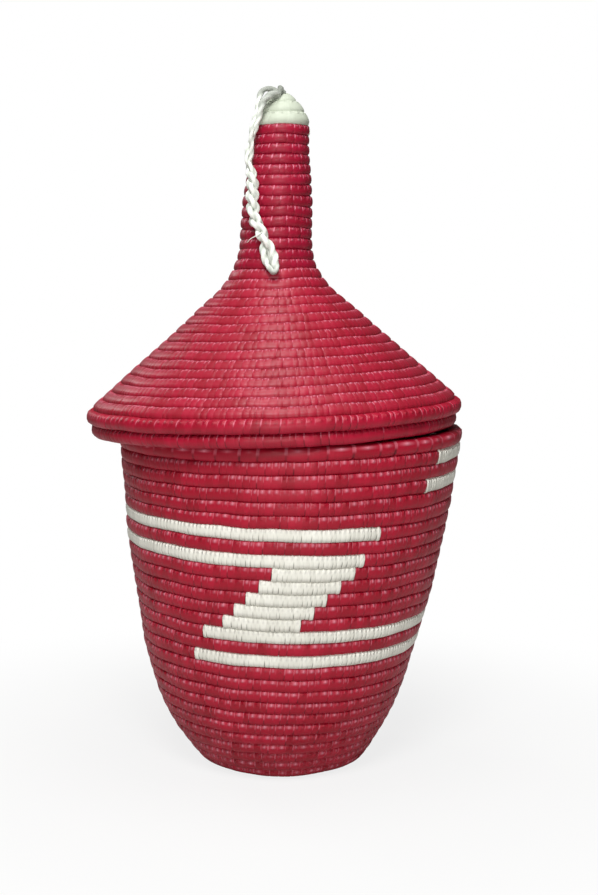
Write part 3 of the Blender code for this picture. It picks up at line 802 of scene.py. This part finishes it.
# %% Wrapping the basket
BASKET_WRAPS = {
    "red_sisal": {"material": red_sisal, "slant": 0.1},
    "white_sisal": {
        "material": white_sisal, "wrap_width": 0.0021, "slant": 0.06, "shoulder": 0.12, "foot_groove": 0.1,
        "least_seam": 0.45, "raised_ends": 0.08,
    },
}
LASHING_SEED = 50
faces = 0
for number, (node, first, last, slot) in enumerate(runs):
    spots = basket_coil.run(first, last)
    piece = wrap(node + "_wraps", node, "basket", slot, spots, seed=number, lowest=0.0, **BASKET_WRAPS[slot])
    faces += len(piece.data.polygons)
lashing = wrap(
    "basket_rim_lashing", "basket_rim_coil", "basket", "red_sisal", basket_coil.run(lashing_start, basket_coil.last),
    material=red_sisal, seed=LASHING_SEED, wrap_width=0.0105, slant=0.1, fullness=1.12, press=0.0, least_seam=0.65,
    foot_groove=0.1,
)
print("basket:", faces + len(lashing.data.polygons), "faces")

# %% [markdown]
# ## Wrapping the lid
#
# The lid is wound from the tip down, so its stitches have their top at the other side of the section. The tip is
# smooth and undyed, the neck sways, and the cone has the most painted glints. The rim is one turn of a thicker
# bundle.

# %% The lid's pieces
RIM_STEPS = 180
LID_SEED = 101

tip_end, neck_end_turn = turns_at(TIP_ROWS, RIGHT_JOIN), turns_at(neck_end_row, RIGHT_JOIN)
rim_line = []
for step in range(RIM_STEPS + 1):
    middle = place_in_rim(0.0, pi - 2.0 * pi * step / RIM_STEPS)
    rim_line.append((middle, LID_RIM_THICKNESS / 2.0, pi / 2.0))
LID_WRAPS = (
    ("lid_tip", "white_sisal", lid_coil.run(lid_coil.first, tip_end), {
        "material": tip_sisal, "squareness": 2.35, "fullness": 1.05, "press": 0.36, "slant": -0.2, "top_angle": 0.0,
        "shoulder": 0.03, "foot_groove": 0.02,
    }),
    ("lid_neck", "red_sisal", lid_coil.run(tip_end, neck_end_turn), {
        "material": neck_sisal, "squareness": 2.5, "press": 0.17, "sway": 0.0014, "slant": -0.2, "top_angle": 0.0,
    }),
    ("lid_cone", "red_sisal", lid_coil.run(neck_end_turn, lid_coil.last), {
        "material": cone_sisal, "squareness": 3.2, "slant": -0.12, "top_angle": 0.0, "wrap_width": 0.0031,
        "shoulder": 0.15, "least_seam": 0.42,
    }),
    ("lid_flange", "red_sisal", flange_coil.run(flange_coil.first, flange_coil.last), {
        "material": rim_sisal, "fullness": 1.06, "squareness": 2.4, "press": 0.0, "top_angle": pi / 2.0,
    }),
    ("lid_lip", "red_sisal", lip_coil.run(lip_coil.first, lip_coil.last), {
        "material": red_sisal, "press": 0.0, "top_angle": 0.0,
    }),
    ("lid_rim", "red_sisal", rim_line, {
        "material": rim_sisal, "wrap_width": 0.0038, "squareness": 2.4, "press": 0.0, "slant": 0.2, "shoulder": 0.1,
    }),
)
for seed, (name, slot, spots, look) in enumerate(LID_WRAPS, LID_SEED):
    piece = wrap(name + "_wraps", name + "_coil", "lid", slot, spots, seed=seed, **look)
    print(piece.name, len(piece.data.polygons), "faces")

# %% [markdown]
# ## The hanging loop
#
# The loop is one strand, folded in two and twisted, so that its fold makes an open eye at the lower end. So it
# is one line: down one side of the route, round the eye, and up the other side. Its ends come up through a hole
# in the tip. It is limp, and rests against the neck, and lies where its CAD solid lies.

# %% The strand's line
CORD_ROUTE = (
    (0.0010, -0.0057, 0.3279), (-0.0025, -0.0094, 0.3247), (-0.0070, -0.0131, 0.3165), (-0.0088, -0.0144, 0.3095),
    (-0.0106, -0.0127, 0.3015), (-0.0118, -0.0124, 0.2925), (-0.0101, -0.0146, 0.2850), (-0.0099, -0.0162, 0.2739),
    (-0.0090, -0.0177, 0.2660), (-0.0056, -0.0202, 0.2590), (-0.0035, -0.0214, 0.2533), (-0.0016, -0.0228, 0.2467),
    (0.0006, -0.0264, 0.2406),
)
LEFT_START = (
    (0.0012, -0.0066, 0.3262), (-0.0020, -0.0080, 0.3268), (-0.0045, -0.0094, 0.3262), (-0.0062, -0.0108, 0.3238),
    (-0.0070, -0.0122, 0.3200), (-0.0077, -0.0132, 0.3160),
)
RIGHT_START = (
    (0.0017, -0.0078, 0.3252), (-0.0008, -0.0104, 0.3238), (-0.0034, -0.0125, 0.3219), (-0.0053, -0.0137, 0.3188),
    (-0.0061, -0.0147, 0.3153),
)
TWIST_START = 21.4  # millimetres from the exit, where the two sides come together
HALF_SPREADS = (  # (millimetres from the exit, half the distance between the two sides in millimetres)
    (19.0, 1.0), (26.0, 0.95), (40.0, 1.0), (48.0, 1.45), (54.0, 1.6), (72.0, 1.65), (79.0, 1.45), (85.0, 2.2),
    (91.0, 2.35), (96.4, 1.0),
)
TURNS = ((TWIST_START, 0.0), (45.4, 1.0), (59.4, 2.25), (79.4, 3.75), (85.4, 4.0), (96.4, 4.0))
BEND_STEPS, KEEP_EVERY, STRAND_SPACING = 8, 3, 0.0005


def strand_sides(route):
    """The two sides of the twisted strand from the start of the twist, and the bend that joins them."""
    left, right, reached = [], [], 0.0
    for number, point in enumerate(route):
        before, after = route[max(number - 1, 0)], route[min(number + 1, len(route) - 1)]
        reached += (point - before).length / MM
        if reached < TWIST_START:
            continue
        tangent = (after - before).normalized()
        outward = Vector((point.x - read_table(LID_OFFSETS, point.z), point.y, 0.0))
        across = tangent.cross(outward).normalized()
        angle = 2.0 * pi * read_table(TURNS, reached)
        offset = (across * cos(angle) + across.cross(tangent) * sin(angle)) * read_table(HALF_SPREADS, reached) * MM
        left.append(point + offset)
        right.append(point - offset)
    middle = (left[-1] + right[-1]) / 2.0
    half = left[-1] - middle
    turns = [pi * step / BEND_STEPS for step in range(1, BEND_STEPS)]
    return left, [middle + half * cos(turn) + tangent * half.length * sin(turn) for turn in turns], right


cord_path = smooth_route(CORD_ROUTE, MM)
left, bend, right = strand_sides(cord_path[:-1])
strand_route = [*LEFT_START, *left[::KEEP_EVERY], *bend, *right[::-KEEP_EVERY], *RIGHT_START[::-1]]
strand = smooth_route(strand_route, STRAND_SPACING)
strand_length = STRAND_SPACING * (len(strand) - 1)

# %% [markdown]
# Each strand is laid from two yarns, so its section has two lobes that turn as it runs on. They are in the mesh,
# because a round tube with a bump would look smooth at its edge.

# %% The tree that lays a strand
LUMP_SCALE = 350.0  # lumps about 3 mm long

strand_tree = new_tree("laid_strand", {
    "Sides": 15, "Yarns": 2, "Yarn Depth": 0.13, "Lay": -0.0114, "Unevenness": 0.2, "Seed": 1, "Material": None,
})


def build_strand_tree(add):
    asked = add("GroupInput").outputs
    reached = add("SplineParameter").outputs["Length"]
    ring = {"middle": add("InputPosition"), "reached": reached}
    tube, kept, angle = sweep(add, asked, asked["Geometry"], ring)
    turned = add("MULTIPLY", add("DIVIDE", kept["reached"], asked["Lay"]), 2.0 * pi)
    around = add("ADD", angle, turned)
    lobe = add("COSINE", add("MULTIPLY", around, asked["Yarns"]))
    noise = {"Vector": add("InputPosition"), "W": asked["Seed"], "Scale": LUMP_SCALE, "Detail": 1.0}
    lump = add("SUBTRACT", add("TexNoise", noise, noise_dimensions="4D"), 0.5)
    lump = add("MULTIPLY", lump, asked["Unevenness"])
    grown = add("ADD", add("MULTIPLY", lobe, asked["Yarn Depth"]), lump)
    moved = pushed(add, kept["middle"], add("ADD", grown, 1.0))
    shaped = add("SetPosition", {"Geometry": tube, "Position": moved})
    millimetres = add("MULTIPLY", kept["reached"], 1.0 / MM)
    sides = [add(side, around) for side in ("COSINE", "SINE")]
    weave = add("CombineXYZ", millimetres, *sides)
    finish_tree(add, asked, shaped, (("weave", weave.outputs[0]), ("ridge", lobe.outputs[0])))


build_strand_tree(partial(add_node, strand_tree))
print("laid_strand:", len(strand_tree.nodes), "nodes")

# %% [markdown]
# The cord is undyed: pale yarns with grey-green shade between them. It is greyer at the knot and on the side that
# crosses the tip, and the grey in the eye is painted shade.

# %% The cord's sisal
YARN_SCALE = (0.35, 4.0, 4.0)  # fibres 3 mm long and 0.4 mm wide, along the yarn
YARN_SHADE, FIBRE_SHADE, SHADE_LEVEL = -0.35, 0.5, 0.1  # the shade lies between the yarns and in the fibres
KNOT_FROM, KNOT_FULL = 0.3205, 0.3262  # heights
EYE_FROM, EYE_FULL = 0.2455, 0.2405
GREY_TAIL, GREY_TAIL_FULL = 19.0, 10.0  # millimetres before the strand's end


def twisted_cord(name, pale, shaded, glints_and_grey):
    """Natural sisal, laid into a cord, from the colours of the yarns, of the shade between them and of its grey
    parts.
    """
    material, shader, add = new_material(name, roughness=0.7, specular=0.35)
    weave = add("Attribute", attribute_name="weave").outputs["Vector"]
    ridge = add("Attribute", attribute_name="ridge").outputs["Fac"]
    fine = add("VectorMath:MULTIPLY", weave, YARN_SCALE)
    fibres = add("TexNoise", {"Vector": fine, "Scale": 1.0, "Detail": 3.0})
    low = add("MULTIPLY_ADD", ridge, YARN_SHADE, SHADE_LEVEL)
    low = add("MULTIPLY_ADD", fibres, FIBRE_SHADE, low, use_clamp=True)
    place = add("TexCoord").outputs["Object"]
    height = add("SeparateXYZ", place).outputs["Z"]
    along = add("SeparateXYZ", weave).outputs["X"]
    end = strand_length / MM
    knot, tail, eye = (
        add("MapRange", {0: value, 1: start, 2: full, 4: most}, **SMOOTH)
        for value, start, full, most in (
            (height, KNOT_FROM, KNOT_FULL, 0.8), (along, end - GREY_TAIL, end - GREY_TAIL_FULL, 0.65),
            (height, EYE_FROM, EYE_FULL, 0.6),
        )
    )
    # Greyer at the knot and towards the strand's end; the grey at the eye is painted shade.
    greyed = add("ADD", add("MAXIMUM", knot, tail), eye)
    dress(add, shader, pale, ((low, shaded), (greyed, glints_and_grey)), Strength=0.5, Distance=0.00015, Height=fibres)
    return material


cord_sisal = twisted_cord("laid_sisal_cord", "#eff2ea", "#a9b0a4", "#7d8178")
grey_sisal = twisted_cord("handled_sisal_cord", "#b9bdb3", "#888d83", "#74786f")
print("materials:", cord_sisal.name, grey_sisal.name)

# %% [markdown]
# The strand swells where it lies free and thins where it is pulled tight. One yarn's end has come loose from it
# lower down, and a short grey strand lies in the eye as painted shade. Both are strands too, with other points.

# %% The loop
STRAND_HALVES = (  # (share of the strand, half thickness in millimetres)
    (0.0, 1.3), (0.05, 1.25), (0.10, 1.05), (0.18, 1.1), (0.25, 1.5), (0.28, 1.6), (0.46, 1.6), (0.5, 1.15),
    (0.54, 1.75), (0.72, 1.6), (0.75, 1.5), (0.82, 1.1), (0.90, 1.1), (0.95, 1.55), (1.0, 1.7),
)
FIBRE_ROUTE = (
    (-0.0053, -0.0222, 0.2592), (-0.0066, -0.0236, 0.258), (-0.009, -0.0232, 0.2569), (-0.0107, -0.0236, 0.2559),
    (-0.0123, -0.0232, 0.2541),
)
CORE_ROUTE = (
    (-0.0050, -0.0200, 0.2580), (-0.0032, -0.0212, 0.2528), (-0.0014, -0.0226, 0.2468), (0.0003, -0.0256, 0.2415),
)


def lay_strand(name, points, halves, material=cord_sisal, **values):
    """A strand along some points, with a table of its half thickness in millimetres by its share."""
    last = len(points) - 1
    spots = [(point, read_table(halves, number / last) * MM, 0.0) for number, point in enumerate(points)]
    return run_tree(line_object(name, spots), strand_tree, name, material=material, **values)


loop = lay_strand("twisted_loop", strand, STRAND_HALVES, seed=3)
loose_fibre = lay_strand(
    "loose_fibre", smooth_route(FIBRE_ROUTE, STRAND_SPACING), ((0.0, 0.3), (0.7, 0.22), (1.0, 0.05)), sides=6, seed=4,
)
eye_core = lay_strand(
    "eye_core", smooth_route(CORE_ROUTE, STRAND_SPACING), ((0.0, 0.6), (0.2, 1.1), (0.7, 1.2), (1.0, 0.7)),
    material=grey_sisal, seed=9,
)
print("loop:", len(loop.data.polygons), "faces")

# %% [markdown]
# The knot on the tip is short and fat. Two strands wind round each other there, and a stem goes down through the
# tip to a stop knot inside the neck. The three are joined, because one CAD node stands for them.

# %% The knot, and what each piece stands for
BEND_END, BEND_FOOT = Vector((0.0043, -0.0030, 0.3272)), Vector((0.0002, -0.0076, 0.3240))
BEND_RADIUS, BEND_TURNS, BEND_POINTS = 0.0010, 0.75, 25
BEND_STARTS = (0.1, 0.6)  # shares of a turn
BEND_HALVES = ((0.0, 1.25), (0.15, 1.45), (1.0, 1.5))
STEM_TOP, STEM_HOLE, STEM_SPACING = (0.0036, -0.0022, 0.3268), (0.0036, 0.0, 0.3245), 0.0004
STEM_CLEARANCE = 0.0005  # over the lowest point of the CAD knot
STEM_HALVES = ((0.0, 1.0), (0.3, 0.75), (0.6, 0.75), (0.8, 1.6), (0.95, 1.5), (1.0, 0.8))

bend_axis = (BEND_FOOT - BEND_END).normalized()
bend_side = bend_axis.cross(Vector((0.0, 0.0, 1.0))).normalized()
bend_up = bend_side.cross(bend_axis)
knot_parts = []
for number, start in enumerate(BEND_STARTS, 1):
    points = []
    for share in (step / (BEND_POINTS - 1) for step in range(BEND_POINTS)):
        turn = 2.0 * pi * (start + BEND_TURNS * share)
        spoke = (bend_side * cos(turn) + bend_up * sin(turn)) * BEND_RADIUS
        points.append(BEND_END.lerp(BEND_FOOT, share) + spoke)
    part = lay_strand(f"knot_strand_{number}", points, BEND_HALVES, material=grey_sisal, seed=4 + number, lay=0.006)
    knot_parts.append(part)
stem_foot = (*STEM_HOLE[:2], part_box("cord_knot")[0].z + STEM_CLEARANCE)
stem = smooth_route([STEM_TOP, STEM_HOLE, stem_foot], STEM_SPACING)
knot_parts.append(lay_strand("knot_stem", stem, STEM_HALVES, seed=7))

bpy.ops.object.select_all(action="DESELECT")
for part in knot_parts:
    part.select_set(True)
knot = bpy.context.view_layer.objects.active = knot_parts[0]
bpy.ops.object.join()
knot.name = knot.data.name = "loop_knot"

for piece, nodes in ((loop, ("hanging_loop",)), (knot, ("cord_knot",)), (loose_fibre, ()), (eye_core, ())):
    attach(piece, "lid")
    if nodes:
        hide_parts(*nodes)
print("knot:", len(knot.data.polygons), "faces")

# %% [markdown]
# ## Light and floor
#
# The photograph was lit from the front and above, and its red falls off to both flanks. So one soft lamp stands
# high in front, one over the top, and a weak one low in front, and the side lamps only open the shadows. The
# world is white for the camera's rays only, so it doesn't wash out the red from below.

# %% Lamps and world
BASKET_MIDDLE = (0.0, 0.0, 0.16)
LAMPS = (  # (name, place, target, width, watts)
    ("key_softbox", (-0.05, -0.74, 0.98), BASKET_MIDDLE, 0.40, 10.9),
    ("top_softbox", (0.0, -0.10, 1.30), BASKET_MIDDLE, 0.50, 6.5),
    ("low_softbox", (0.04, -0.95, 0.16), (0.0, 0.0, 0.09), 0.36, 2.7),
    ("left_softbox", (-0.75, -0.20, 0.72), BASKET_MIDDLE, 0.10, 0.3),
    ("back_left_softbox", (-0.70, 0.62, 0.62), (0.0, 0.0, 0.18), 0.25, 1.6),
    ("right_softbox", (0.75, -0.15, 0.72), BASKET_MIDDLE, 0.10, 0.2),
)
WORLD_FILL, WORLD_IN_GLOSS = 0.05, 0.06
WHITE = (1.0, 1.0, 1.0, 1.0)

for name, place, target, width, watts in LAMPS:
    data = bpy.data.lights.new(name, "AREA")
    data.shape = "DISK"
    data.size = width
    data.energy = watts
    lamp = new_object(name, data)
    lamp.location = place
    lamp.rotation_euler = (Vector(target) - Vector(place)).to_track_quat("-Z", "Y").to_euler()

world = bpy.data.worlds.new("studio")
bpy.context.scene.world = world
world.use_nodes = True
tree = world.node_tree
add = partial(add_node, tree)
rays = add("LightPath").outputs
seen = add("MULTIPLY_ADD", rays["Is Glossy Ray"], WORLD_IN_GLOSS, rays["Is Camera Ray"])
seen = add("MAXIMUM", seen, rays["Is Transmission Ray"])
strength = add("MULTIPLY_ADD", seen, 1.0 - WORLD_FILL, WORLD_FILL)
background = tree.nodes["Background"].inputs
background["Color"].default_value = WHITE
tree.links.new(strength.outputs[0], background["Strength"])
print("light:", len(LAMPS), "lamps and a white world")

# %% [markdown]
# The floor is matt paper, just below the basket. White is mixed over it with the distance from the basket, so
# the shadow stays near its foot, and the paper ends without an edge.

# %% Floor
FLOOR_HALF, FLOOR_HEIGHT = 3.0, -0.0002
SHADOW_FROM, SHADOW_TO, WHITE_NEAR = 0.11, 0.29, 0.82

floor_mesh = bpy.data.meshes.new("studio_floor")
corners = [(x * FLOOR_HALF, y * FLOOR_HALF, FLOOR_HEIGHT) for x, y in ((-1, -1), (1, -1), (1, 1), (-1, 1))]
floor_mesh.from_pydata(corners, [], [(0, 1, 2, 3)])
floor_piece = new_object("studio_floor", floor_mesh)
floor_paper, paper, add = new_material("matt_white_paper", roughness=0.9)
paper.inputs["Base Color"].default_value = linear("#cfcfcd")
place = add("TexCoord").outputs["Object"]
away = add("VectorMath:LENGTH", place).outputs["Value"]
far = add("MapRange", {0: away, 1: SHADOW_FROM, 2: SHADOW_TO, 3: WHITE_NEAR}, **SMOOTH)
rays = add("LightPath").outputs
white = add("MULTIPLY", far, rays["Is Camera Ray"])
glow = add("Emission", {"Color": WHITE, "Strength": 1.0})
shown = add("MixShader", white, paper, glow)
tree = floor_paper.node_tree
tree.links.new(shown.outputs[0], tree.nodes["Material Output"].inputs["Surface"])
floor_mesh.materials.append(floor_paper)

bpy.context.scene.view_settings.view_transform = "Standard"
print("floor:", floor_paper.name)
